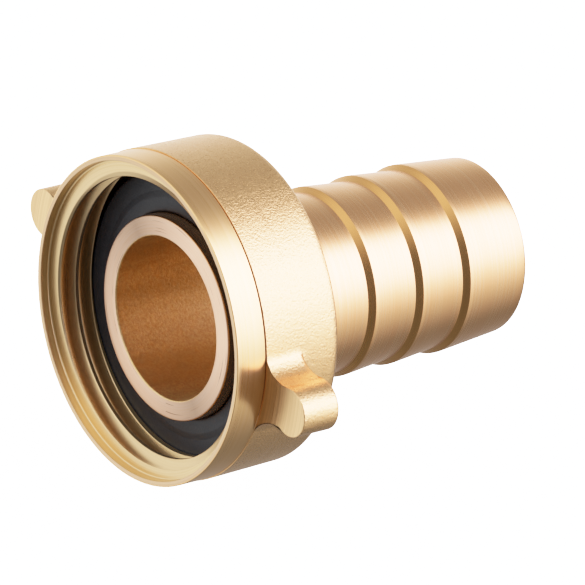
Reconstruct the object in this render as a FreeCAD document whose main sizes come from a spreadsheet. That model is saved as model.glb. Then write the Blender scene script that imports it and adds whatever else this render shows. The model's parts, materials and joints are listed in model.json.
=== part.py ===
import FreeCAD, Part
import math
import os

import Sketcher

# Hose tail with a two-lug union nut and a captive flat gasket.
# Row frame: the nut's axis is +X, from its open mouth towards the tail's barbed end. +Z is up, and the
# origin is the centre of the nut's mouth. All sizes are in millimetres, and all angles are in degrees.

Vector = FreeCAD.Vector
Constraint = Sketcher.Constraint

# Sizes that are set. Names ending in _face, _start and _end are distances along the axis from the mouth.
DRIVING = {
    # Internal thread of the nut: G 1 (ISO 228), 11 turns to the inch, flanks 27.5 degrees from square.
    "thread_major_diameter": 33.249,
    "thread_minor_diameter": 30.291,
    "thread_pitch": 2.309,
    "thread_flank_angle": 27.5,
    "thread_crest_land": 0.42,
    "thread_first_groove": 2.75,
    "thread_stock": 2,
    "thread_lead_in": 0.2,
    "groove_overlap": 0.3,
    "groove_lead_turns": 2,
    "groove_turns": 4,
    "thread_end": 5.45,
    # The inner crests are bored wider than the outer ones, so that the gasket can be pushed in past them.
    "clear_thread_length": 2.7,
    "inner_crest_diameter": 30.7,
    # Nut
    "mouth_diameter": 34.1,
    "mouth_depth": 1.0,
    "front_diameter": 35.3,
    "front_length": 3.64,
    "forging_front_diameter": 35.5,
    "forging_rear_diameter": 35.1,
    "nut_length": 13.4,
    "rear_edge_radius": 1.0,
    "room_diameter": 33.5,
    "flange_thickness": 2.15,
    "rear_hole_diameter": 21.4,
    # Lugs: the one on the -Y side droops and the one on the +Y side rises, each by its own angle
    "lug_droop": 12.6,
    "lug_rise": 14.7,
    "lug_centre": 22.1,
    "lug_radius": 2.62,
    "tight_root_radius": 3.0,
    "wide_root_radius": 5.0,
    "lug_end": 8.3,
    "lug_edge_radius": 0.4,
    # Gasket
    "gasket_outer_diameter": 31.0,
    "gasket_inner_diameter": 22.1,
    "gasket_front": 5.5,
    "gasket_thickness": 2.0,
    # The tail and the gasket hang in the nut by some of its play, so they sit this far below its axis.
    "tail_drop": 0.45,
    # Hose tail
    "bore_diameter": 17.6,
    "nose_face": 3.76,
    "nose_diameter": 22.0,
    "nose_edge_chamfer": 0.15,
    "gasket_travel": 1.25,
    "collar_diameter": 29.6,
    "flange_gap": 0.05,
    "shank_diameter": 20,
    "shank_end": 14.2,
    "barb_crest_diameter": 20.5,
    "barb_root_diameter": 19.5,
    "barb_crest_land": 0.4,
    "barb_face_run": 0.7,
    "first_barb": 17.4,
    "barb_spacing": 6.3,
    "tip_diameter": 19.1,
    "tip_edge_radius": 0.6,
    "tail_end": 44.4,
}
BARB_COUNT = 4

# Sizes that follow from the driving ones, as formulas in the same sheet.
DERIVED = {
    "thread_major_radius": "thread_major_diameter / 2",
    "thread_minor_radius": "thread_minor_diameter / 2",
    "inner_crest_radius": "inner_crest_diameter / 2",
    "clear_thread_end": "mouth_depth + clear_thread_length",
    "thread_rough_radius": "thread_minor_radius - thread_stock",
    "lead_in_radius": "thread_minor_radius + thread_lead_in",
    "lead_in_end": "mouth_depth + thread_lead_in",
    "groove_inner_radius": "thread_minor_radius - groove_overlap",
    "flank_slope": "tan(thread_flank_angle * 1 deg)",
    "groove_half_width": "(thread_pitch - thread_crest_land) / 2 + groove_overlap * flank_slope",
    "groove_half_root": "groove_half_width - (thread_major_radius - groove_inner_radius) * flank_slope",
    "groove_centre": "thread_first_groove - groove_lead_turns * thread_pitch",
    "groove_run": "groove_turns * thread_pitch",
    "mouth_radius": "mouth_diameter / 2",
    "front_radius": "front_diameter / 2",
    "forging_front_radius": "forging_front_diameter / 2",
    "forging_rear_radius": "forging_rear_diameter / 2",
    "room_radius": "room_diameter / 2",
    "flange_face": "nut_length - flange_thickness",
    "rear_hole_radius": "rear_hole_diameter / 2",
    "lug_spread": "180 + lug_droop - lug_rise",
    "lug_depth": "lug_end - front_length",
    "gasket_outer_radius": "gasket_outer_diameter / 2",
    "gasket_inner_radius": "gasket_inner_diameter / 2",
    "gasket_back": "gasket_front + gasket_thickness",
    "bore_radius": "bore_diameter / 2",
    "nose_radius": "nose_diameter / 2",
    "collar_front": "gasket_back + gasket_travel",
    "collar_back": "flange_face - flange_gap",
    "collar_radius": "collar_diameter / 2",
    "shank_radius": "shank_diameter / 2",
    "barb_crest_radius": "barb_crest_diameter / 2",
    "barb_root_radius": "barb_root_diameter / 2",
    "tip_radius": "tip_diameter / 2",
}
# Each root arc of a lug touches the nut's wall from outside: u is out along the lug and v across it.
for side in ("tight", "wide"):
    DERIVED[f"{side}_root_ring"] = f"forging_rear_radius + {side}_root_radius"
    DERIVED[f"{side}_root_v"] = f"lug_radius + {side}_root_radius"
    DERIVED[f"{side}_root_u"] = f"sqrt({side}_root_ring ^ 2 - {side}_root_v ^ 2)"
    DERIVED[f"{side}_touch_u"] = f"{side}_root_u * forging_rear_radius / {side}_root_ring"
for barb in range(BARB_COUNT):
    DERIVED[f"barb_{barb}_step"] = f"first_barb + {barb} * barb_spacing"
    DERIVED[f"barb_{barb}_root"] = f"barb_{barb}_step - barb_face_run"
    DERIVED[f"barb_{barb}_land"] = f"barb_{barb}_step + barb_crest_land"

# Stands in a profile for a point on the origin plane.
ON_PLANE = "0"
# How near two sizes in millimetres must be to count as the same.
SAME = 1e-4

doc = FreeCAD.newDocument("hose_tail_union")


def make_sheet():
    """The sheet of sizes: one row each, with the name in column A and the aliased value in column B."""
    cells = doc.addObject("Spreadsheet::Sheet", "Sizes")
    rows = [(name, str(value)) for name, value in DRIVING.items()]
    rows += [(name, "=" + formula) for name, formula in DERIVED.items()]
    for number, (name, content) in enumerate(rows, start=1):
        cells.set(f"A{number}", name)
        cells.set(f"B{number}", content)
        cells.setAlias(f"B{number}", name)
    doc.recompute()
    return cells


sheet = make_sheet()


def value(name):
    """A size as a plain number."""
    return 0.0 if name == ON_PLANE else float(getattr(sheet, name))


def new_body(label):
    body = doc.addObject("PartDesign::Body", label)
    body.Label = label
    return body


def new_sketch(body, name, plane):
    """An empty sketch on one of the body's own origin planes."""
    sketch = body.newObject("Sketcher::SketchObject", name)
    support = next(item for item in body.Origin.OriginFeatures if item.Role == plane)
    sketch.AttachmentSupport = (support, [""])
    sketch.MapMode = "FlatFace"
    return sketch


def bind(sketch, kind, places, name):
    """Add a dimension to a sketch and bind it to a cell of the sheet."""
    index = sketch.addConstraint(Constraint(kind, *places, value(name)))
    sketch.setExpression(f"Constraints[{index}]", f"Sizes.{name}")


def pin_point(sketch, geometry, point, u_name, v_name):
    """Fix a point of the sketch at two sizes from the sketch's origin."""
    if u_name == ON_PLANE:
        sketch.addConstraint(Constraint("PointOnObject", geometry, point, -2))
    else:
        bind(sketch, "DistanceX", (-1, 1, geometry, point), u_name)
    bind(sketch, "DistanceY", (-1, 1, geometry, point), v_name)


def add_profile(body, name, corners):
    """A closed half profile in the XZ plane, as (distance along the axis, radius) pairs of size names."""
    sketch = new_sketch(body, name, "XZ_Plane")
    points = [Vector(value(along), value(radius), 0) for along, radius in corners]
    count = len(points)
    for index in range(count):
        sketch.addGeometry(Part.LineSegment(points[index], points[(index + 1) % count]), False)
    for index in range(count):
        sketch.addConstraint(Constraint("Coincident", index, 2, (index + 1) % count, 1))
    for index, (along, radius) in enumerate(corners):
        pin_point(sketch, index, 1, along, radius)
    return sketch


def revolve(body, name, corners):
    """Turn a half profile once round the axis."""
    feature = body.newObject("PartDesign::Revolution", name)
    feature.Profile = add_profile(body, name + "_profile", corners)
    feature.ReferenceAxis = (feature.Profile[0], ["H_Axis"])
    feature.Angle = 360
    doc.recompute()
    return feature


def repeat_round_axis(body, feature, name, count):
    """Repeat a feature at equal angles round the body's axis."""
    pattern = body.newObject("PartDesign::PolarPattern", name)
    pattern.Originals = [feature]
    axis = next(item for item in body.Origin.OriginFeatures if item.Role == "X_Axis")
    pattern.Axis = (axis, [""])
    pattern.Angle = 360
    pattern.Occurrences = count
    pattern.Refine = False
    body.Tip = pattern
    doc.recompute()
    return pattern


def circle_edges(shape, along, radius):
    """Names of the circular edges centred on the axis at one place along it."""
    names = []
    for number, edge in enumerate(shape.Edges, start=1):
        curve = edge.Curve
        if not isinstance(curve, Part.Circle):
            continue
        if abs(curve.Center.x - along) < SAME and abs(curve.Radius - radius) < SAME:
            names.append(f"Edge{number}")
    return names


def lug_rear_edges(shape, along, radius):
    """Names of the edges in the lugs' rear faces that stand clear of the nut's own wall."""
    names = []
    for number, edge in enumerate(shape.Edges, start=1):
        middle = edge.valueAt((edge.FirstParameter + edge.LastParameter) / 2)
        ends = [vertex.Point for vertex in edge.Vertexes]
        in_face = all(abs(point.x - along) < SAME for point in ends + [middle])
        if in_face and math.hypot(middle.y, middle.z) > radius:
            names.append(f"Edge{number}")
    return names


def hang(body):
    """Lower a piece below the nut's axis by the play that it hangs in."""
    body.setExpression("Placement.Base.z", "-Sizes.tail_drop")
    doc.recompute()


def dress(body, kind, name, base, edges, size_name):
    """A Fillet or Chamfer on some edges, its size bound to the sheet."""
    if not edges:
        raise RuntimeError(f"{name}: no edge was found")
    feature = body.newObject("PartDesign::" + kind, name)
    feature.Base = (base, edges)
    field = "Radius" if kind == "Fillet" else "Size"
    setattr(feature, field, value(size_name))
    feature.setExpression(field, f"Sizes.{size_name}")
    doc.recompute()
    return feature


def make_hose_tail():
    """One turned piece: nose, collar, shank and barbs, bored through."""
    body = new_body("hose_tail")
    corners = [
        ("nose_face", "bore_radius"),
        ("nose_face", "nose_radius"),
        ("collar_front", "nose_radius"),
        ("collar_front", "collar_radius"),
        ("collar_back", "collar_radius"),
        ("collar_back", "shank_radius"),
        ("shank_end", "shank_radius"),
    ]
    for barb in range(BARB_COUNT):
        corners += [
            (f"barb_{barb}_root", "barb_root_radius"),
            (f"barb_{barb}_step", "barb_crest_radius"),
            (f"barb_{barb}_land", "barb_crest_radius"),
        ]
    corners += [("tail_end", "tip_radius"), ("tail_end", "bore_radius")]
    turned = revolve(body, "tail_turning", corners)
    tip = circle_edges(turned.Shape, value("tail_end"), value("tip_radius"))
    rounded = dress(body, "Fillet", "tip_rounding", turned, tip, "tip_edge_radius")
    nose = circle_edges(rounded.Shape, value("nose_face"), value("nose_radius"))
    dress(body, "Chamfer", "nose_chamfer", rounded, nose, "nose_edge_chamfer")
    hang(body)
    return body


def make_gasket():
    """Flat rubber ring round the nose, wider than the thread's crests, so that the nut holds it."""
    body = new_body("gasket")
    revolve(
        body,
        "gasket_ring",
        [
            ("gasket_front", "gasket_inner_radius"),
            ("gasket_front", "gasket_outer_radius"),
            ("gasket_back", "gasket_outer_radius"),
            ("gasket_back", "gasket_inner_radius"),
        ],
    )
    hang(body)
    return body


def add_lug_sketch(body):
    """Outline of one lug, square to the axis, with u out along the lug and v across it.

    Its flanks sweep out of the nut's wall on two root arcs, the wider one on the +v side, and end in a half
    round.
    """
    sketch = new_sketch(body, "lug_outline", "YZ_Plane")
    sketch.AttachmentOffset = FreeCAD.Placement(
        Vector(0, 0, value("front_length")), FreeCAD.Rotation(Vector(0, 0, 1), value("lug_rise"))
    )
    sketch.setExpression("AttachmentOffset.Base.z", "Sizes.front_length")
    sketch.setExpression("AttachmentOffset.Rotation.Angle", "Sizes.lug_rise * 1 deg")
    centre, radius = value("lug_centre"), value("lug_radius")
    wide_u, wide_v = value("wide_root_u"), value("wide_root_v")
    tight_u, tight_v = value("tight_root_u"), value("tight_root_v")
    wide_sweep, tight_sweep = math.atan2(wide_v, wide_u), math.atan2(tight_v, tight_u)
    wall = value("forging_rear_radius")
    normal = Vector(0, 0, 1)

    def arc(u, v, size, start, end):
        return sketch.addGeometry(
            Part.ArcOfCircle(Part.Circle(Vector(u, v, 0), normal, size), start, end), False
        )

    def line(u1, v1, u2, v2):
        return sketch.addGeometry(Part.LineSegment(Vector(u1, v1, 0), Vector(u2, v2, 0)), False)

    def on_wall(angle):
        return wall * math.cos(angle), wall * math.sin(angle)

    head = arc(centre, 0, radius, -math.pi / 2, math.pi / 2)
    upper = line(centre, radius, wide_u, radius)
    upper_root = arc(wide_u, wide_v, value("wide_root_radius"), math.pi + wide_sweep, 1.5 * math.pi)
    chord = line(*on_wall(wide_sweep), *on_wall(-tight_sweep))
    lower_root = arc(tight_u, -tight_v, value("tight_root_radius"), math.pi / 2, math.pi - tight_sweep)
    lower = line(tight_u, -radius, centre, -radius)
    for constraint in (
        Constraint("Tangent", head, 2, upper, 1),
        Constraint("Tangent", upper, 2, upper_root, 2),
        Constraint("Coincident", upper_root, 1, chord, 1),
        Constraint("Coincident", chord, 2, lower_root, 2),
        Constraint("Tangent", lower_root, 1, lower, 1),
        Constraint("Tangent", lower, 2, head, 1),
        Constraint("PointOnObject", head, 3, -1),
        Constraint("Horizontal", upper),
        Constraint("Horizontal", lower),
    ):
        sketch.addConstraint(constraint)
    bind(sketch, "DistanceX", (-1, 1, head, 3), "lug_centre")
    bind(sketch, "Radius", (head,), "lug_radius")
    bind(sketch, "Radius", (upper_root,), "wide_root_radius")
    bind(sketch, "Radius", (lower_root,), "tight_root_radius")
    bind(sketch, "Distance", (-1, 1, upper_root, 3), "wide_root_ring")
    bind(sketch, "Distance", (-1, 1, lower_root, 3), "tight_root_ring")
    bind(sketch, "DistanceX", (-1, 1, chord, 1), "wide_touch_u")
    bind(sketch, "DistanceX", (-1, 1, chord, 2), "tight_touch_u")
    return sketch


def add_thread(body):
    """Cut the right-hand thread with a helical groove that runs out into the mouth and the room."""
    sketch = new_sketch(body, "thread_groove_profile", "XZ_Plane")
    centre = value("groove_centre")
    wide, narrow = value("groove_half_width"), value("groove_half_root")
    inner, outer = value("groove_inner_radius"), value("thread_major_radius")
    points = [
        Vector(centre - wide, inner, 0),
        Vector(centre - narrow, outer, 0),
        Vector(centre + narrow, outer, 0),
        Vector(centre + wide, inner, 0),
    ]
    for index in range(4):
        sketch.addGeometry(Part.LineSegment(points[index], points[(index + 1) % 4]), False)
    for index in range(4):
        sketch.addConstraint(Constraint("Coincident", index, 2, (index + 1) % 4, 1))
    middle = sketch.addGeometry(Part.LineSegment(Vector(centre, inner, 0), Vector(centre, outer, 0)), True)
    sketch.addConstraint(Constraint("Vertical", middle))
    sketch.addConstraint(Constraint("Symmetric", 0, 1, 2, 2, middle))
    sketch.addConstraint(Constraint("Symmetric", 0, 2, 2, 1, middle))
    sketch.addConstraint(Constraint("PointOnObject", middle, 1, 3))
    sketch.addConstraint(Constraint("PointOnObject", middle, 2, 1))
    bind(sketch, "DistanceX", (-1, 1, middle, 1), "groove_centre")
    bind(sketch, "DistanceY", (-1, 1, 0, 1), "groove_inner_radius")
    bind(sketch, "DistanceY", (-1, 1, 0, 2), "thread_major_radius")
    bind(sketch, "DistanceX", (0, 1, middle, 1), "groove_half_width")
    bind(sketch, "DistanceX", (0, 2, middle, 2), "groove_half_root")
    doc.recompute()
    thread = body.newObject("PartDesign::SubtractiveHelix", "thread")
    thread.Profile = sketch
    thread.ReferenceAxis = (sketch, ["H_Axis"])
    thread.Mode = 0
    thread.Pitch = value("thread_pitch")
    thread.Height = value("groove_run")
    thread.Angle = 0
    thread.LeftHanded = False
    thread.Reversed = False
    thread.Refine = False
    thread.setExpression("Pitch", "Sizes.thread_pitch")
    thread.setExpression("Height", "Sizes.groove_run")
    body.Tip = thread
    doc.recompute()
    return thread


def make_union_nut():
    """Forged nut: turned mouth and front, threaded inside, with a rear flange and two lugs."""
    body = new_body("union_nut")
    forging = revolve(
        body,
        "nut_turning",
        [
            (ON_PLANE, "mouth_radius"),
            (ON_PLANE, "front_radius"),
            ("front_length", "front_radius"),
            ("front_length", "forging_front_radius"),
            ("nut_length", "forging_rear_radius"),
            ("nut_length", "rear_hole_radius"),
            ("flange_face", "rear_hole_radius"),
            ("flange_face", "room_radius"),
            ("thread_end", "room_radius"),
            ("thread_end", "thread_rough_radius"),
            ("mouth_depth", "thread_rough_radius"),
            ("mouth_depth", "mouth_radius"),
        ],
    )
    rear = circle_edges(forging.Shape, value("nut_length"), value("forging_rear_radius"))
    dress(body, "Fillet", "rear_rounding", forging, rear, "rear_edge_radius")

    lug = body.newObject("PartDesign::Pad", "lug")
    lug.Profile = add_lug_sketch(body)
    lug.Length = value("lug_depth")
    lug.setExpression("Length", "Sizes.lug_depth")
    doc.recompute()
    lugs = repeat_round_axis(body, lug, "lug_pair", 2)
    lugs.setExpression("Angle", "Sizes.lug_spread * 1 deg")
    doc.recompute()
    edges = lug_rear_edges(lugs.Shape, value("lug_end"), value("forging_front_radius"))
    dress(body, "Fillet", "lug_rounding", lugs, edges, "lug_edge_radius")

    # The crests are bored in quarter turns, so that no crest face runs once round the thread.
    crest_bore = body.newObject("PartDesign::Groove", "crest_bore")
    crest_bore.Profile = add_profile(
        body,
        "crest_bore_profile",
        [
            ("mouth_depth", "thread_rough_radius"),
            ("mouth_depth", "lead_in_radius"),
            ("lead_in_end", "thread_minor_radius"),
            ("clear_thread_end", "thread_minor_radius"),
            ("clear_thread_end", "inner_crest_radius"),
            ("thread_end", "inner_crest_radius"),
            ("thread_end", "thread_rough_radius"),
        ],
    )
    crest_bore.ReferenceAxis = (crest_bore.Profile[0], ["H_Axis"])
    crest_bore.Angle = 90
    crest_bore.Refine = False
    doc.recompute()
    repeat_round_axis(body, crest_bore, "crest_bores", 4)
    add_thread(body)
    return body


def check_and_export(bodies):
    """Stop on any failed object or bad shape, and write each piece to its own STEP file."""
    doc.recompute()
    failed = [item.Name for item in doc.Objects if {"Invalid", "Error"} & set(item.State)]
    if failed:
        raise RuntimeError(f"these objects failed: {failed}")
    os.makedirs("parts", exist_ok=True)
    for body in bodies:
        shape = body.Shape
        if shape.isNull() or not shape.isValid() or len(shape.Solids) != 1:
            raise RuntimeError(f"{body.Label} is not one valid solid")
        shape.exportStep(f"parts/{body.Label}.step")
        print(f"{body.Label}: {shape.Volume:.1f} mm3, {len(shape.Faces)} faces")


check_and_export([make_hose_tail(), make_gasket(), make_union_nut()])
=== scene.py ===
import json
import math
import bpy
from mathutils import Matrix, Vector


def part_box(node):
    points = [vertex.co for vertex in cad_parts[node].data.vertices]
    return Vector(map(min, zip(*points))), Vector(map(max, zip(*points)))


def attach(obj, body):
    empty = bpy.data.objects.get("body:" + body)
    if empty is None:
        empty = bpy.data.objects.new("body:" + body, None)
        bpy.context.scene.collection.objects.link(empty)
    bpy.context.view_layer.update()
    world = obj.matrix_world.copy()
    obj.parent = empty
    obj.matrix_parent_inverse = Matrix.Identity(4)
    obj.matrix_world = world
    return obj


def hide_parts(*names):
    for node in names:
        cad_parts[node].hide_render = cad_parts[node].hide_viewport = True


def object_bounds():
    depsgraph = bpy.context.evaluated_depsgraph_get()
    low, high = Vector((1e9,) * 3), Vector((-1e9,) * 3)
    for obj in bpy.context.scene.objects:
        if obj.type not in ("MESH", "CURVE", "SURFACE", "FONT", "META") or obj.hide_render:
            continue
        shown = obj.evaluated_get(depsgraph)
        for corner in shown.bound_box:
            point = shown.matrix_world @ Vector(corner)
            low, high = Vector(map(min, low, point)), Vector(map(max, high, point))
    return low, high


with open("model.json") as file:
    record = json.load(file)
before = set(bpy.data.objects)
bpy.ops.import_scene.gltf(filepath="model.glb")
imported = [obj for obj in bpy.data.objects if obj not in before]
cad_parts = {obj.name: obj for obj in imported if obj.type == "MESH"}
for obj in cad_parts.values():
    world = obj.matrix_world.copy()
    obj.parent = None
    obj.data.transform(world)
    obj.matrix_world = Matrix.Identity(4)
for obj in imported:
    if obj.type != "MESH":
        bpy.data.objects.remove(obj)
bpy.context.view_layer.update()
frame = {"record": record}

from types import SimpleNamespace

import bmesh
import bpy
import numpy as np
from mathutils import Vector

# A brass hose tail with a two-lug union nut and a flat gasket. Each of the three pieces is one closed mesh
# swept round its own axis, which lies along X. Sizes are in millimetres, and angles round the axis run from
# +Z towards +Y.
MM = 0.001


# ---------------------------------------------------------------- sizes
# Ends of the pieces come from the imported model, radii of the stated walls from its record.
def ends(node):
    """Where a piece starts and ends along the axis."""
    low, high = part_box(node)
    return low.x / MM, high.x / MM


def round_size(node):
    """Radius of a round piece that lies along X, and the height of its axis in metres."""
    low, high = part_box(node)
    return (high.z - low.z) / 2 / MM, (high.z + low.z) / 2


def wall(name):
    """Radius of a mount's round wall."""
    mounts = {mount["name"]: mount for mount in frame["record"]["mounts"]}
    return mounts[name]["dims"]["r_mm"]


NOSE, TAIL_END = ends("hose_tail")
MOUTH, NUT_END = ends("union_nut")
GASKET_FRONT, GASKET_BACK = ends("gasket")
COLLAR_R, TAIL_Z = round_size("hose_tail")
GASKET_R, GASKET_Z = round_size("gasket")
BORE_R = wall("through_bore")
BARB_R = wall("hose_barb")
CREST_R = wall("thread")
RECESS_R = wall("mouth")

# Hose tail
NOSE_R, NOSE_MIDDLE_R = 11.0, 9.9
COLLAR_FRONT, COLLAR_BACK = 8.75, 11.2
SHANK_R, SHANK_END = 10.0, 14.2
BARB_STEPS = (17.4, 23.7, 30.0, 36.3)
BARB_ROOT_R, BARB_LAND, BARB_FACE = 9.75, 0.4, 0.7
TIP_R, TIP_ROUND = 9.55, 0.6
TAIL_SAMPLES = 288

# Gasket
GASKET_HOLE_R = NOSE_R + 0.05
GASKET_MIDDLE_R = 14.4
LIP_HEIGHT, LIP_R, LIP_FOOT_R = 0.14, 12.6, 13.3
WAVE_DEPTH = 0.05
GASKET_SAMPLES = 224

# Nut: turned front, forging behind it, and the room inside
RIM_R = 17.65
STEP_X = 3.64
GROOVE_DEPTH, GROOVE_EDGE, GROOVE_FLOOR = 0.2, 0.08, 0.05
FORGED_R, FORGED_REAR_R = 17.75, 17.55
REAR_ROUND = 1.0
ROOM_R, FLANGE_FACE, REAR_HOLE_R = 16.75, 11.25, 10.7

# Thread
RECESS_END, THREAD_END = 1.0, 5.45
LEAD_IN = 0.2
INNER_CREST_X, INNER_CREST_R = 3.7, 15.35
MAJOR_R, PITCH, CREST_LAND, GROOVE_AT_TOP = 16.6245, 2.309, 0.42, 2.75
ROOT_ROUND = 0.5
FLANK = math.tan(math.radians(27.5))

# Lugs: the one towards +Y rises and the other one droops, in degrees
LUG_CENTRE, LUG_R, LUG_NECK, LUG_END = 22.1, 2.62, 2.38, 8.3
LUG_EDGE, LUG_FILLET = 0.5, 1.1
TIGHT_ROOT, WIDE_ROOT = 3.0, 5.0
LUG_RISE, LUG_DROOP = 14.7, 12.6
LUG_SAMPLES, WALL_SAMPLES = 113, 150


# ---------------------------------------------------------------- mesh helpers
def rounded(points, radii, steps=5):
    """The (x, r) polyline with its corners rounded by the radii, where 0 keeps a corner sharp."""
    out = []
    for i, (point, radius) in enumerate(zip(points, radii)):
        if radius <= 0 or i in (0, len(points) - 1):
            out.append(tuple(point))
            continue
        p, a, b = np.array(point, float), np.array(points[i - 1], float), np.array(points[i + 1], float)
        u, v = (a - p) / np.linalg.norm(a - p), (b - p) / np.linalg.norm(b - p)
        half = math.acos(max(-1, min(1, float(u @ v)))) / 2
        back = min(radius / math.tan(half), np.linalg.norm(a - p) * 0.49, np.linalg.norm(b - p) * 0.49)
        start, end = p + u * back, p + v * back
        pull = p * 0.9 + (start + end) * 0.05
        for s in np.linspace(0, 1, steps + 1):
            out.append(tuple((1 - s) ** 2 * start + 2 * s * (1 - s) * pull + s ** 2 * end))
    return out


def filled(points, longest):
    """The polyline with no side longer than this, so that shading and noise have points to work on."""
    out = [points[0]]
    for a, b in zip(points, points[1:]):
        count = max(1, math.ceil(math.dist(a, b) / longest))
        for step in range(1, count + 1):
            t = step / count
            out.append((a[0] + (b[0] - a[0]) * t, a[1] + (b[1] - a[1]) * t))
    return out


def grid_mesh(name, grid):
    """A closed ring of rings: grid[i, j] is in millimetres, i along the section and j round the axis."""
    rows, around = grid.shape[:2]
    index = np.arange(rows * around).reshape(rows, around)
    a, b = index, np.roll(index, -1, axis=0)
    quads = np.stack([a, np.roll(a, -1, axis=1), np.roll(b, -1, axis=1), b], axis=-1).reshape(-1, 4)
    mesh = bpy.data.meshes.new(name)
    mesh.from_pydata((grid.reshape(-1, 3) * MM).tolist(), [], quads.tolist())
    piece = bpy.data.objects.new(name, mesh)
    bpy.context.scene.collection.objects.link(piece)
    work = bmesh.new()
    work.from_mesh(mesh)
    bmesh.ops.remove_doubles(work, verts=work.verts, dist=2e-7)
    bmesh.ops.dissolve_degenerate(work, edges=work.edges, dist=1e-7)
    bmesh.ops.recalc_face_normals(work, faces=work.faces)
    work.to_mesh(mesh)
    work.free()
    mesh.shade_smooth()
    return piece


def lathe(name, section, around):
    """A closed (x, r) section turned once round the axis."""
    angles = np.linspace(0, 2 * math.pi, around, endpoint=False)
    section = np.array(section, float)
    x = np.repeat(section[:, :1], around, axis=1)
    y = section[:, 1:] * np.sin(angles)[None, :]
    z = section[:, 1:] * np.cos(angles)[None, :]
    return grid_mesh(name, np.stack([x, y, z], axis=-1))


# ---------------------------------------------------------------- hose tail
def make_tail():
    """Nose, collar, shank, four barbs and bore. The section starts and ends within the nose's face."""
    start = (NOSE, NOSE_MIDDLE_R)
    points = [start, (NOSE, NOSE_R), (COLLAR_FRONT, NOSE_R), (COLLAR_FRONT, COLLAR_R)]
    radii = [0, 0.22, 0.3, 0.25]
    points += [(COLLAR_BACK, COLLAR_R), (COLLAR_BACK, SHANK_R), (SHANK_END, SHANK_R)]
    radii += [0.2, 0.2, 0.6]
    for step in BARB_STEPS:
        points += [(step - BARB_FACE, BARB_ROOT_R), (step, BARB_R), (step + BARB_LAND, BARB_R)]
        radii += [0.08, 0.07, 0.5]
    points += [(TAIL_END, TIP_R), (TAIL_END, BORE_R), (NOSE, BORE_R), start]
    radii += [TIP_ROUND, 0.25, 0.2, 0]
    piece = lathe("tail_turned", filled(rounded(points, radii), 0.6)[:-1], TAIL_SAMPLES)
    piece.location.z = TAIL_Z
    return piece


# ---------------------------------------------------------------- gasket
def make_gasket():
    """Flat ring with a low lip round its hole and a slightly wavy face."""
    lip = GASKET_FRONT - LIP_HEIGHT
    start = (GASKET_FRONT, GASKET_MIDDLE_R)
    points = [start, (GASKET_FRONT, GASKET_R), (GASKET_BACK, GASKET_R), (GASKET_BACK, GASKET_HOLE_R)]
    points += [(lip, GASKET_HOLE_R), (lip - 0.02, LIP_R), (GASKET_FRONT, LIP_FOOT_R), start]
    radii = [0, 0.35, 0.3, 0.2, 0.3, 0.45, 0.5, 0]
    piece = lathe("gasket_soft", filled(rounded(points, radii), 0.35)[:-1], GASKET_SAMPLES)
    piece.location.z = GASKET_Z
    # The waves only sink into the face, so that it stays clear of the last crest.
    rng = np.random.default_rng(7)
    waves = [(count, rng.uniform(0, 6.28), rng.uniform(0.01, 0.03)) for count in (2, 3, 5, 7)]
    for vertex in piece.data.vertices:
        if vertex.co.x < (GASKET_FRONT + 0.4) * MM:
            angle = math.atan2(vertex.co.y, vertex.co.z)
            depth = WAVE_DEPTH + sum(size * math.sin(count * angle + phase) for count, phase, size in waves)
            vertex.co.x += MM * max(0.0, depth)
    return piece


# ---------------------------------------------------------------- union nut
def flank(root, way):
    """One side of a lug, from the nut's wall to its rounded end, u out along the lug and v across it.

    The second result is the angle from the lug's middle at which this side leaves the wall.
    """
    root_v = LUG_NECK + root
    root_u = math.sqrt((FORGED_REAR_R + root) ** 2 - root_v ** 2)
    touch = math.atan2(root_v, root_u)
    points = [
        (root_u + root * math.cos(a), way * (root_v - root * math.sin(a)))
        for a in np.linspace(math.pi - touch, math.pi / 2, 18)
    ]
    neck_u = LUG_CENTRE - math.sqrt(LUG_R ** 2 - LUG_NECK ** 2)
    if neck_u > root_u:
        points += [(u, way * LUG_NECK) for u in np.linspace(root_u, neck_u, 5)[1:]]
    else:
        points = [point for point in points if point[0] < neck_u] + [(neck_u, way * LUG_NECK)]
    return points, touch


def lug_outline():
    """Evenly spaced points round a lug, from its tight root to its wide one, and both roots' angles."""
    low_side, low_touch = flank(TIGHT_ROOT, -1)
    high_side, high_touch = flank(WIDE_ROOT, 1)
    end = math.pi / 2 + math.asin(math.sqrt(1 - (LUG_NECK / LUG_R) ** 2))
    turn = np.linspace(-end, end, 37)[1:-1]
    head = [(LUG_CENTRE + LUG_R * math.cos(a), LUG_R * math.sin(a)) for a in turn]
    line = np.array(low_side + head + high_side[::-1])
    run = np.concatenate([[0], np.cumsum(np.linalg.norm(np.diff(line, axis=0), axis=1))])
    share = np.linspace(0, run[-1], LUG_SAMPLES)
    line = np.stack([np.interp(share, run, line[:, 0]), np.interp(share, run, line[:, 1])], axis=-1)
    return line, low_touch, high_touch


def around_samples():
    """Angles of the nut's samples, which of them are on a lug, and the lug outline's (y, z) for those."""
    line, low_touch, high_touch = lug_outline()
    middles = (math.radians(90 - LUG_RISE), math.radians(-90 - LUG_DROOP))
    following = (middles[1], middles[0] - 2 * math.pi)
    angles, outline = [], []
    for middle, after in zip(middles, following):
        # Angles fall as v grows, from the tight root to the wide one.
        for (u, v), a in zip(line, np.linspace(-low_touch, high_touch, len(line))):
            angles.append(middle - a)
            y = u * math.sin(middle) - v * math.cos(middle)
            z = u * math.cos(middle) + v * math.sin(middle)
            outline.append((y, z, True))
        start, stop = middle - high_touch, after + low_touch
        for s in range(1, WALL_SAMPLES):
            angles.append(start + (stop - start) * s / WALL_SAMPLES)
            outline.append((0.0, 0.0, False))
    y, z, on_lug = (np.array(column) for column in zip(*outline))
    return np.array(angles), on_lug, y, z


AROUND, ON_LUG, LUG_Y, LUG_Z = around_samples()
COUNT = len(AROUND)


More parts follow.
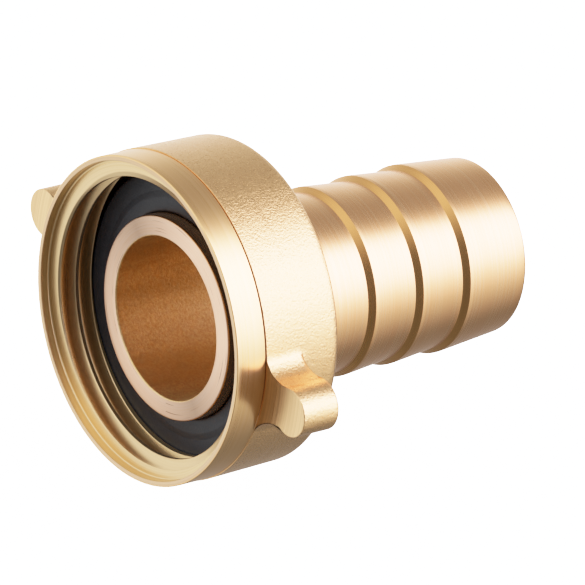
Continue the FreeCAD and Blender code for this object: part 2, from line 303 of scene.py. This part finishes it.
def ring(x, radius, lug=0.0, shrink=0.0):
    """One ring of the nut's surface. lug runs from 0 on the round body to 1 on the lugs' outline."""
    radius = np.broadcast_to(np.asarray(radius, float), (COUNT,))
    y, z = radius * np.sin(AROUND), radius * np.cos(AROUND)
    if lug > 0:
        reach = np.hypot(LUG_Y, LUG_Z)
        scale = np.where(ON_LUG, (reach - shrink) / np.where(ON_LUG, reach, 1), 0)
        on = ON_LUG & (reach - shrink > radius)
        y = np.where(on, y + (LUG_Y * scale - y) * lug, y)
        z = np.where(on, z + (LUG_Z * scale - z) * lug, z)
    x = np.broadcast_to(np.asarray(x, float), (COUNT,))
    return np.stack([x, y, z], axis=-1)


def body_radius(x):
    """The forging's outside, which tapers slightly to the rear."""
    return FORGED_R + (FORGED_REAR_R - FORGED_R) * (x - STEP_X) / (NUT_END - STEP_X)


def smooth_min(a, b, size):
    """The smaller of two values, blended where they are within this size of each other."""
    h = np.clip(0.5 + 0.5 * (b - a) / size, 0, 1)
    return b * (1 - h) + a * h - size * h * (1 - h)


def thread_radius(x):
    """Radius of the threaded wall at x for every sample round the axis."""
    centre = GROOVE_AT_TOP - PITCH * AROUND / (2 * math.pi)
    off = np.abs((x - centre + PITCH / 2) % PITCH - PITCH / 2)
    crest = CREST_R if x < INNER_CREST_X else INNER_CREST_R
    side = CREST_R + ((PITCH - CREST_LAND) / 2 - off) / FLANK
    return np.maximum(crest, smooth_min(side, np.full(COUNT, MAJOR_R + 0.03), ROOT_ROUND))


def front_rings():
    """Rim and turned front, up to the groove at the step, which fades out on the lower side."""
    flush = 1 - np.clip((np.cos(AROUND) + 0.45) / 0.3, 0, 1)
    groove_r = RIM_R - GROOVE_DEPTH
    section = [(0.5, RECESS_R), (0, RECESS_R), (0, RIM_R)]
    section += [(STEP_X - GROOVE_EDGE, RIM_R), (STEP_X - GROOVE_FLOOR, groove_r)]
    rings = [ring(x + MOUTH, r) for x, r in filled(rounded(section, [0, 0.07, 0.12, 0.05, 0]), 0.45)]
    rings[-1][:, 1:] *= (1 + (RIM_R / groove_r - 1) * flush)[:, None]
    rings.append(ring(STEP_X, RIM_R - GROOVE_DEPTH * (1 - flush)))
    return rings


def lug_rings():
    """The lugs' front faces, sides and rounded rear edges, and the fillet behind them."""
    rings = []
    for lug in (0.0, 0.04, 0.12, 0.25, 0.4, 0.55, 0.7, 0.82, 0.92, 0.975):
        rings.append(ring(STEP_X, FORGED_R - 0.05, lug))
    rings.append(ring(STEP_X, FORGED_R - 0.03, 1.0, 0.1))
    rings.append(ring(STEP_X + 0.03, FORGED_R - 0.01, 1.0, 0.03))
    rings.append(ring(STEP_X + 0.1, FORGED_R, 1.0))
    for x in np.linspace(STEP_X + 0.3, LUG_END - 0.55, 11):
        rings.append(ring(x, body_radius(x), 1.0))
    for a in np.linspace(0, math.pi / 2, 7):
        x = LUG_END - LUG_EDGE + LUG_EDGE * math.sin(a)
        rings.append(ring(x, body_radius(LUG_END), 1.0, LUG_EDGE * (1 - math.cos(a))))
    for lug in (0.86, 0.7, 0.55, 0.4, 0.28, 0.2):
        rings.append(ring(LUG_END + 0.02 * (1 - lug), body_radius(LUG_END), lug, LUG_EDGE))
    height = LUG_CENTRE + LUG_R - FORGED_R
    for a in np.linspace(0.1, math.pi / 2, 7):
        x = LUG_END + LUG_FILLET * (1 - math.cos(a))
        lug = max(0.0, LUG_FILLET * (1 - math.sin(a)) / height)
        rings.append(ring(x + 0.02, body_radius(x), lug, LUG_EDGE))
    return rings


def rear_rings():
    """Rear of the forging, hole in the flange, and room behind the thread."""
    behind_lugs = LUG_END + LUG_FILLET + 0.3
    section = [
        (behind_lugs, body_radius(behind_lugs)),
        (NUT_END, FORGED_REAR_R),
        (NUT_END, REAR_HOLE_R),
        (FLANGE_FACE, REAR_HOLE_R),
        (FLANGE_FACE, ROOM_R),
        (THREAD_END, ROOM_R),
        (THREAD_END, MAJOR_R + 0.1),
    ]
    section = rounded(section, [0, REAR_ROUND, 0.25, 0.1, 0.4, 0.1, 0], 8)
    return [ring(x, r) for x, r in filled(section, 0.45)]


def thread_rings():
    """Threaded wall from the room to the mouth, its lead-in, and the plain recess behind the rim."""
    rings = []
    for x in np.linspace(THREAD_END, RECESS_END + LEAD_IN, 130):
        rings.append(ring(x, np.minimum(thread_radius(x), MAJOR_R + 0.05)))
    for lead in (0.15, 0.1, 0.05, 0.0):
        x = RECESS_END + lead
        rings.append(ring(x, np.maximum(thread_radius(x), CREST_R + LEAD_IN - lead)))
    opened = np.maximum(thread_radius(RECESS_END), CREST_R + LEAD_IN)
    for share in (0.04, 0.3, 0.6, 0.9, 1.0):
        rings.append(ring(RECESS_END, opened + (RECESS_R - 0.06 - opened) * share))
    rings.append(ring(RECESS_END - 0.06, RECESS_R))
    rings.append(ring(0.8, RECESS_R))
    return rings


def nick_edges(rings, size=0.022):
    """Small dents along the rim's two edges."""
    rough = np.random.default_rng(11)
    for edge in (RECESS_R, RIM_R):
        dents = rough.random(COUNT) ** 4 * size
        for grid in rings:
            radius = np.hypot(grid[:, 1], grid[:, 2])
            near = (np.abs(grid[:, 0]) < 0.09) & (np.abs(radius - edge) < 0.13)
            grid[:, 0] += np.where(near, dents, 0)
    return rings


def make_nut():
    """One skin: front, lugs, rear and room, and back out through the thread."""
    rings = np.array(front_rings() + lug_rings() + rear_rings() + thread_rings())
    return grid_mesh("nut_forged", nick_edges(rings))


# ---------------------------------------------------------------- materials
def material(name):
    """A new material and its one shader."""
    m = bpy.data.materials.new(name)
    m.use_nodes = True
    nodes = m.node_tree.nodes
    nodes.clear()
    out = nodes.new("ShaderNodeOutputMaterial")
    shader = nodes.new("ShaderNodeBsdfPrincipled")
    m.node_tree.links.new(shader.outputs[0], out.inputs[0])
    return m, shader


class Graph:
    """Short calls for the node types used here. A source is a socket or a plain value."""

    def __init__(self, tree):
        self.tree = tree

    def node(self, kind, **settings):
        made = self.tree.nodes.new("ShaderNode" + kind)
        for key, setting in settings.items():
            setattr(made, key, setting)
        return made

    def put(self, socket, source):
        if isinstance(source, bpy.types.NodeSocket):
            self.tree.links.new(source, socket)
        else:
            socket.default_value = source

    def math(self, operation, a, b=0.0, clamp=False):
        made = self.node("Math", operation=operation, use_clamp=clamp)
        self.put(made.inputs[0], a)
        self.put(made.inputs[1], b)
        return made.outputs[0]

    def band(self, source, low, high, to_low=0.0, to_high=1.0, smooth=True):
        """The source's run from low to high, mapped to another one."""
        made = self.node("MapRange", interpolation_type="SMOOTHSTEP" if smooth else "LINEAR")
        self.put(made.inputs["Value"], source)
        limits = {"From Min": low, "From Max": high, "To Min": to_low, "To Max": to_high}
        for key, limit in limits.items():
            self.put(made.inputs[key], limit)
        return made.outputs[0]

    def noise(self, vector, scale, detail, roughness):
        made = self.node("TexNoise")
        self.put(made.inputs["Vector"], vector)
        self.put(made.inputs["Scale"], scale)
        self.put(made.inputs["Detail"], detail)
        self.put(made.inputs["Roughness"], roughness)
        return made.outputs["Fac"]

    def vector(self, x, y, z):
        made = self.node("CombineXYZ")
        for socket, source in zip(made.inputs, (x, y, z)):
            self.put(socket, source)
        return made.outputs[0]

    def mix(self, share, a, b):
        """Blend of two colours, each a socket or (red, green, blue). Inputs 6 and 7 are the colours."""
        made = self.node("Mix", data_type="RGBA")
        self.put(made.inputs[0], share)
        for socket, source in ((made.inputs[6], a), (made.inputs[7], b)):
            self.put(socket, (*source, 1) if isinstance(source, tuple) else source)
        return made.outputs[2]

    def lerp(self, share, a, b):
        """Blend of two numbers, which are inputs 2 and 3."""
        made = self.node("Mix", data_type="FLOAT")
        self.put(made.inputs[0], share)
        self.put(made.inputs[2], a)
        self.put(made.inputs[3], b)
        return made.outputs[0]

    def bump(self, height, distance, strength):
        made = self.node("Bump")
        self.put(made.inputs["Height"], height)
        self.put(made.inputs["Distance"], distance)
        self.put(made.inputs["Strength"], strength)
        return made.outputs[0]

    def place(self):
        """A point's place on the piece in millimetres, its distance from the axis and angle round it."""
        coordinates = self.node("TexCoord").outputs["Object"]
        scaled = self.node("VectorMath", operation="SCALE")
        self.put(scaled.inputs[0], coordinates)
        scaled.inputs["Scale"].default_value = 1 / MM
        split = self.node("SeparateXYZ")
        self.put(split.inputs[0], scaled.outputs[0])
        x, y, z = split.outputs
        squares = self.math("ADD", self.math("MULTIPLY", y, y), self.math("MULTIPLY", z, z))
        radius = self.math("SQRT", squares)
        angle = self.math("ARCTAN2", y, z)
        return SimpleNamespace(x=x, y=y, z=z, radius=radius, angle=angle, point=scaled.outputs[0])

    def facing(self):
        """How far the surface faces along the axis, 0 on turned cylinders and 1 on faces."""
        split = self.node("SeparateXYZ")
        self.put(split.inputs[0], self.node("NewGeometry").outputs["True Normal"])
        return self.math("ABSOLUTE", split.outputs[0])

    def tool_marks(self, at, size, streak):
        """Rings cut by a turning tool: noise that changes fast across the marks and slowly along them."""
        across = self.math("ADD", at.x, at.radius)
        y, z = self.math("MULTIPLY", at.y, streak), self.math("MULTIPLY", at.z, streak)
        return self.noise(self.vector(self.math("MULTIPLY", across, size), y, z), 1.0, 1.5, 0.5)

    def sum_of(self, a, a_share, b, b_share):
        return self.math("ADD", self.math("MULTIPLY", a, a_share), self.math("MULTIPLY", b, b_share))


def finish_brass(g, shader, color, rough, normal):
    g.put(shader.inputs["Base Color"], color)
    g.put(shader.inputs["Metallic"], 1.0)
    g.put(shader.inputs["Roughness"], rough)
    g.put(shader.inputs["Normal"], normal)


def nose_brass(g, at, fine):
    """The nose's faced end: pale, with a painted sheen that brightens it towards two opposite sides and
    darkens it between them, and a few dark turning scratches.
    """
    pale = g.mix(g.band(fine, 0.3, 0.8), (0.95, 0.62, 0.43), (0.97, 0.68, 0.51))
    # Painted sheen: a bow-tie of light round the axis, brightest on one side and a little fainter on the
    # opposite one.
    lobe = g.math("COSINE", g.math("ADD", at.angle, math.radians(60)))
    away = g.math("MAXIMUM", g.math("MULTIPLY", lobe, -1.0), 0.0)
    painted_sheen = g.sum_of(g.math("MAXIMUM", lobe, 0.0), 0.62, away, 0.5)
    pale = g.mix(g.math("ADD", painted_sheen, 0.46, clamp=True), (0.0, 0.0, 0.0), pale)
    rings = g.vector(g.math("MULTIPLY", at.radius, 5.5), g.math("MULTIPLY", at.angle, 1.4), 3.0)
    scratch = g.band(g.noise(rings, 1.0, 1.0, 0.5), 0.66, 0.72, 0.0, 0.8)
    return g.mix(scratch, pale, (0.28, 0.16, 0.11))


def bore_brass(g, at, grain):
    """The rougher bore: deeper in colour, with streaks along it."""
    y, z = g.math("MULTIPLY", at.y, 0.33), g.math("MULTIPLY", at.z, 0.33)
    along = g.noise(g.vector(g.math("MULTIPLY", at.x, 0.03), y, z), 1.0, 2.0, 0.5)
    deep = g.mix(g.band(grain, 0.3, 0.7), (0.82, 0.54, 0.25), (0.99, 0.74, 0.39))
    return g.mix(g.band(along, 0.42, 0.6, 0.0, 0.5), deep, (0.66, 0.41, 0.16))


def brass_tail():
    """Turned brass with a rose cast, darkened by painted shade on the barbs' steps and the other end faces,
    pale on the nose with a painted sheen, deep in the bore.
    """
    m, shader = material("tail_brass_turned")
    g = Graph(m.node_tree)
    at = g.place()
    marks, fine = g.tool_marks(at, 5.0, 0.03), g.tool_marks(at, 16.0, 0.06)
    cloud = g.noise(at.point, 0.18, 4.0, 0.6)
    grain = g.noise(at.point, 3.6, 3.0, 0.65)
    facing = g.facing()
    inside = g.math("LESS_THAN", at.radius, BORE_R + 0.12)
    nose = g.math("MULTIPLY", g.band(facing, 0.6, 0.95), g.math("LESS_THAN", at.x, NOSE + 0.3))
    rose = g.mix(cloud, (0.93, 0.52, 0.255), (0.91, 0.475, 0.215))
    color = g.mix(g.band(marks, 0.35, 0.75), rose, (0.93, 0.545, 0.28))
    # Painted shade: faces that look along the axis, the barbs' steps among them, are darkened in their
    # colour.
    color = g.mix(g.band(facing, 0.2, 0.5), color, (0.66, 0.34, 0.12))
    color = g.mix(nose, color, nose_brass(g, at, fine))
    color = g.mix(inside, color, bore_brass(g, at, grain))
    rough = g.lerp(nose, g.lerp(marks, 0.25, 0.29), 0.42)
    rough = g.lerp(inside, rough, g.lerp(grain, 0.34, 0.5))
    height = g.lerp(inside, g.sum_of(marks, 0.6, fine, 0.4), grain)
    finish_brass(g, shader, color, rough, g.bump(height, 0.03 * MM, g.lerp(inside, 0.05, 0.9)))
    return m


def turned_brass(g, at, marks, cloud):
    """The nut where the tool reached: front, lugs' front faces, rim, inside and the step's groove. The
    lugs' front faces, the rim's face, the inside and the groove carry painted shade.
    """

    def marked(low, high, start=0.35):
        return g.mix(g.band(marks, start, 0.75), low, high)

    color = marked(g.mix(cloud, (0.88, 0.52, 0.23), (0.90, 0.55, 0.255)), (0.92, 0.57, 0.28))
    # Painted shade: the lugs' front faces get a duller copy of the turned brass.
    shaded_lug_face = g.math("GREATER_THAN", at.radius, FORGED_R + 0.1)
    color = g.mix(shaded_lug_face, color, marked((0.76, 0.50, 0.26), (0.92, 0.62, 0.33), 0.3))
    # Painted shade: the rim's face gets a darker copy of the turned brass.
    rim = g.math("LESS_THAN", at.radius, RIM_R - 0.15)
    color = g.mix(rim, color, marked((0.66, 0.44, 0.26), (0.74, 0.51, 0.32)))
    # Painted shade: the recess, thread and room inside get a darker copy of the turned brass.
    shaded_inside = g.math("LESS_THAN", at.radius, RECESS_R + 0.03)
    color = g.mix(shaded_inside, color, marked((0.74, 0.52, 0.27), (0.82, 0.60, 0.34), 0.3))
    # Painted shade: a dark brown line is laid in the groove at the step, where the forging meets the turned
    # front.
    past_front = g.math("GREATER_THAN", at.x, STEP_X - 0.07)
    outside = g.math("GREATER_THAN", at.radius, ROOM_R + 0.25)
    below_front = g.math("LESS_THAN", at.radius, RIM_R - 0.05)
    shaded_groove = g.math("MULTIPLY", g.math("MULTIPLY", past_front, outside), below_front)
    return g.mix(shaded_groove, color, (0.30, 0.17, 0.07))


def brass_nut():
    """Yellow brass: forged and blasted behind the step, turned in front of it and inside."""
    m, shader = material("nut_brass_forged")
    g = Graph(m.node_tree)
    at = g.place()
    marks, fine = g.tool_marks(at, 5.0, 0.03), g.tool_marks(at, 16.0, 0.06)
    cloud = g.noise(at.point, 0.16, 4.0, 0.6)
    grain = g.noise(at.point, 4.2, 3.0, 0.65)
    pits = g.noise(at.point, 1.1, 3.0, 0.6)
    behind = g.math("GREATER_THAN", at.x, STEP_X + 0.02)
    outside = g.math("GREATER_THAN", at.radius, ROOM_R + 0.25)
    rear_face = g.math("GREATER_THAN", at.x, NUT_END - 0.8)
    forged = g.math("MULTIPLY", behind, g.math("MAXIMUM", outside, rear_face))
    cast = g.mix(g.band(grain, 0.3, 0.72), (0.86, 0.51, 0.23), (0.91, 0.56, 0.27))
    color = g.mix(forged, turned_brass(g, at, marks, cloud), cast)
    rough = g.lerp(forged, g.lerp(marks, 0.25, 0.33), g.lerp(grain, 0.22, 0.36))
    height = g.lerp(forged, g.sum_of(marks, 0.6, fine, 0.4), g.sum_of(grain, 0.8, pits, 0.4))
    distance = g.lerp(forged, 0.02 * MM, 0.16 * MM)
    finish_brass(g, shader, color, rough, g.bump(height, distance, g.lerp(forged, 0.25, 0.6)))
    return m


def rubber():
    """Black rubber with a cloudy, finely grained face."""
    m, shader = material("gasket_rubber_matte")
    g = Graph(m.node_tree)
    point = g.place().point
    cloud = g.noise(point, 0.35, 4.0, 0.65)
    grain = g.noise(point, 4.5, 3.0, 0.6)
    g.put(shader.inputs["Base Color"], g.mix(cloud, (0.012, 0.013, 0.018), (0.03, 0.032, 0.042)))
    g.put(shader.inputs["Roughness"], g.lerp(cloud, 0.42, 0.6))
    g.put(shader.inputs["Specular IOR Level"], 0.5)
    g.put(shader.inputs["Normal"], g.bump(grain, 0.06 * MM, 0.5))
    return m


tail = make_tail()
gasket = make_gasket()
nut = make_nut()

for piece, make_material, body, node, slot in (
    (tail, brass_tail, "tail", "hose_tail", "tail_brass"),
    (nut, brass_nut, "nut", "union_nut", "nut_brass"),
    (gasket, rubber, "seal", "gasket", "gasket_rubber"),
):
    piece.data.materials.append(make_material())
    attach(piece, body)
    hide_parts(node)


# ---------------------------------------------------------------- floor, light and camera
# The floor's half width and its gap below the object are in metres.
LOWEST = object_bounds()[0].z
FLOOR_HALF, FLOOR_GAP, FLOOR_GLOW = 6.0, 0.0002, 3.2


def make_floor():
    """A pale glowing floor that neither lights the object nor shows in its brass."""
    corners = [(x * FLOOR_HALF, y * FLOOR_HALF, 0) for x, y in ((-1, -1), (1, -1), (1, 1), (-1, 1))]
    mesh = bpy.data.meshes.new("floor")
    mesh.from_pydata(corners, [], [(0, 1, 2, 3)])
    paint, shader = material("floor_pale")
    shader.inputs["Base Color"].default_value = (0.93, 0.93, 0.93, 1)
    shader.inputs["Roughness"].default_value = 0.6
    shader.inputs["Emission Color"].default_value = (1, 1, 1, 1)
    shader.inputs["Emission Strength"].default_value = FLOOR_GLOW
    mesh.materials.append(paint)
    floor = bpy.data.objects.new("floor", mesh)
    floor.location = (0, 0, LOWEST - FLOOR_GAP)
    floor.visible_glossy = False
    floor.visible_diffuse = False
    bpy.context.scene.collection.objects.link(floor)


# The studio: brightness of the surroundings by angle round the object's axis, in degrees from straight up
# towards +Y. To the barbed end's side a large soft box hangs over and beside the camera, and the far side
# and the ground are dimmer. To the mouth's side the room is dark but for a pale wall behind the object.
BARB_SIDE = (
    (-180, 0.24), (-168, 0.30), (-150, 0.58), (-130, 1.0), (-108, 1.9), (-85, 3.4), (-62, 4.2),
    (-42, 4.2), (-32, 3.2), (-23, 1.5), (-14, 0.62), (-4, 0.44), (20, 0.42), (45, 0.62),
    (75, 1.3), (108, 1.7), (124, 0.5), (150, 0.32), (180, 0.24),
)
MOUTH_SIDE = (
    (-180, 0.24), (-150, 0.20), (-120, 0.20), (-60, 0.24), (-34, 0.9), (-12, 1.6),
    (20, 1.5), (50, 1.25), (113, 1.42), (150, 0.8), (180, 0.24),
)
# The ramps hold shares of this brightness.
PEAK = 6.0


def studio_side(g, share, levels):
    """One side's brightness as a colour ramp, cooler where it is bright."""
    ramp = g.node("ValToRGB")
    stops = ramp.color_ramp.elements
    while len(stops) > 1:
        stops.remove(stops[-1])
    for number, (degrees, level) in enumerate(levels):
        stop = stops[0] if number == 0 else stops.new((degrees + 180) / 360)
        stop.position = (degrees + 180) / 360
        cool = 0.4 * max(0.0, min(1.0, (level - 1.4) / 2.4))
        stop.color = (level / PEAK, level / PEAK, level / PEAK * (1 + cool), 1)
    g.put(ramp.inputs[0], share)
    return ramp.outputs[0]


def make_studio():
    world = bpy.data.worlds.new("studio")
    world.use_nodes = True
    g = Graph(world.node_tree)
    split = g.node("SeparateXYZ")
    g.put(split.inputs[0], g.node("TexCoord").outputs["Generated"])
    x, y, z = split.outputs
    share = g.band(g.math("ARCTAN2", y, z), -math.pi, math.pi, smooth=False)
    mouth_light, barb_light = studio_side(g, share, MOUTH_SIDE), studio_side(g, share, BARB_SIDE)
    background = world.node_tree.nodes["Background"]
    g.put(background.inputs[0], g.mix(g.band(x, -0.35, 0.15), mouth_light, barb_light))
    background.inputs[1].default_value = PEAK
    bpy.context.scene.world = world


# The picture's tones: straight for the darker half, then a soft shoulder that turns the brightest brass
# pale, as a camera does. Each pair is brightness in the scene and brightness in the picture.
TONES = (
    (0.25, 0.25), (0.4, 0.395), (0.55, 0.515), (0.7, 0.615), (0.9, 0.72),
    (1.15, 0.81), (1.5, 0.885), (2.0, 0.94), (2.6, 0.975), (3.4, 0.995),
)
WHITE = 4.0
# Red runs ahead of the other two in the highlights, which keeps their edges golden.
RED_TONES = (
    (0.5, 0.5), (0.62, 0.625), (0.72, 0.745), (0.8, 0.85), (0.87, 0.93), (0.92, 0.972), (0.96, 0.99),
)


def set_tones():
    view = bpy.context.scene.view_settings
    view.view_transform = "Standard"
    view.use_curve_mapping = True
    curves = view.curve_mapping
    curves.white_level = (WHITE, WHITE, WHITE)
    red, all_three = curves.curves[0], curves.curves[3]
    for scene_level, picture_level in TONES:
        all_three.points.new(scene_level / WHITE, picture_level)
    for level, redder in RED_TONES:
        red.points.new(level, redder)
    curves.update()


# The camera looks at the target from its distance away, both in metres.
AZIMUTH, ELEVATION, DISTANCE = math.radians(-37.17), math.radians(18.59), 0.9501
TARGET = (0.0209, 0.000624, -0.001227)
LENS, SENSOR = 553.85, 36.0


def make_camera():
    level = math.cos(ELEVATION)
    back = Vector((math.sin(AZIMUTH) * level, -math.cos(AZIMUTH) * level, math.sin(ELEVATION)))
    camera = bpy.data.objects.new("camera", bpy.data.cameras.new("camera"))
    camera.data.lens, camera.data.sensor_width = LENS, SENSOR
    camera.data.clip_start, camera.data.clip_end = 0.05, 20.0
    camera.rotation_mode = "QUATERNION"
    camera.rotation_quaternion = (-back).to_track_quat("-Z", "Y")
    camera.location = Vector(TARGET) + back * DISTANCE
    bpy.context.scene.collection.objects.link(camera)
    bpy.context.scene.camera = camera


make_floor()
make_studio()
set_tones()
make_camera()
